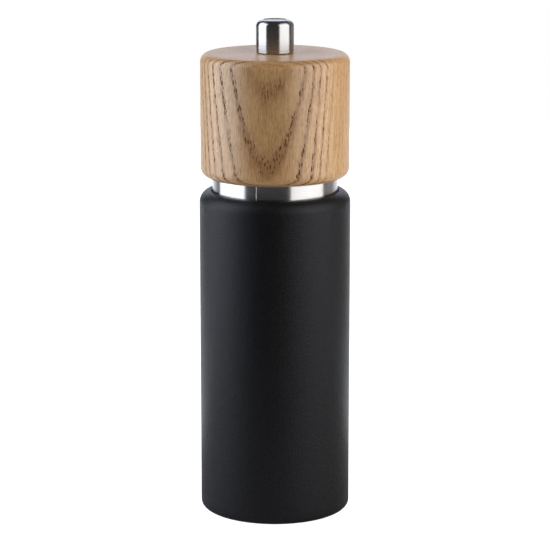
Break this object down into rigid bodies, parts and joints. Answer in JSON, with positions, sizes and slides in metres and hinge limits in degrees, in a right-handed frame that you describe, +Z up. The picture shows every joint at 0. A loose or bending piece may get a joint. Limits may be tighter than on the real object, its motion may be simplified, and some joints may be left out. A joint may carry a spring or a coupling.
{
  "type": "pepper mill",
  "caption": "Tall round hand-turned pepper mill: satin black wooden body, wooden turning head on a steel collar, steel setting knob, ceramic cone grinder in the base.",
  "frame": {"origin": "centre of the round base, in the plane it stands on", "axes": "+Z up along the mill's axis, from the base to the knob; -Y is the front, +X to the right seen from the front; the collar's butt seam lies 17 degrees to the left of the front"},
  "size_m": [0.0546, 0.0546, 0.18],
  "materials": {
    "turned_steel": "turned stainless steel, fine tool lines round the axis",
    "oak": "oiled oak, satin, open pores",
    "brushed_steel": "stainless steel brushed round the axis",
    "black_lacquer": "turned wood under satin black lacquer",
    "brass": "machined",
    "rubber": "moulded",
    "zinc_steel": "zinc plated, satin",
    "screw_steel": "zinc plated, satin",
    "spring_steel": "drawn wire, satin",
    "white_nylon": "moulded, matte",
    "black_plastic": "moulded, fine grain",
    "ceramic": "sintered, satin"
  },
  "bodies": {
    "body": {"mill_body": "black_lacquer", "glide_ring": "white_nylon", "grinder_housing": "black_plastic", "stator_ring": "ceramic", "stator_retainer": "black_plastic", "housing_screws": "screw_steel"},
    "drive_bush": {"thrust_bush": "white_nylon", "grinder_spring": "spring_steel"},
    "spindle": {"spindle": "zinc_steel", "spindle_clip": "spring_steel", "spring_washer": "zinc_steel", "rotor_carrier": "black_plastic", "grinder_rotor": "ceramic", "rotor_washer": "zinc_steel", "rotor_screw": "screw_steel"},
    "head": {"head": "oak", "head_collar": "brushed_steel", "drive_plate": "zinc_steel", "drive_plate_screws": "screw_steel"},
    "friction_ring": {"knob_friction_ring": "rubber"},
    "knob": {"knob": "turned_steel", "knob_thread_insert": "brass"}
  },
  "joints": [
    {"name": "grind_turn", "type": "hinge", "parent": "body", "child": "drive_bush", "pos_m": [0, 0, 0.03], "axis": [0, 0, 1], "continuous": true},
    {"name": "spindle_slide", "type": "slide", "parent": "drive_bush", "child": "spindle", "axis": [0, 0, 1], "range_m": [-0.002, 0], "deforming": ["grinder_spring"]},
    {"name": "head_lift", "type": "slide", "parent": "drive_bush", "child": "head", "axis": [0, 0, 1], "range_m": [0, 0.07]},
    {"name": "knob_turn", "type": "hinge", "parent": "head", "child": "friction_ring", "pos_m": [0, 0, 0.17], "axis": [0, 0, 1], "range_deg": [0, 720]},
    {"name": "knob_lift", "type": "slide", "parent": "friction_ring", "child": "knob", "axis": [0, 0, 1], "range_m": [0, 0.02]}
  ],
  "couplings": [
    {"joint": "knob_turn", "follows": "spindle_slide", "rad_per_m": -6283.2}
  ]
}
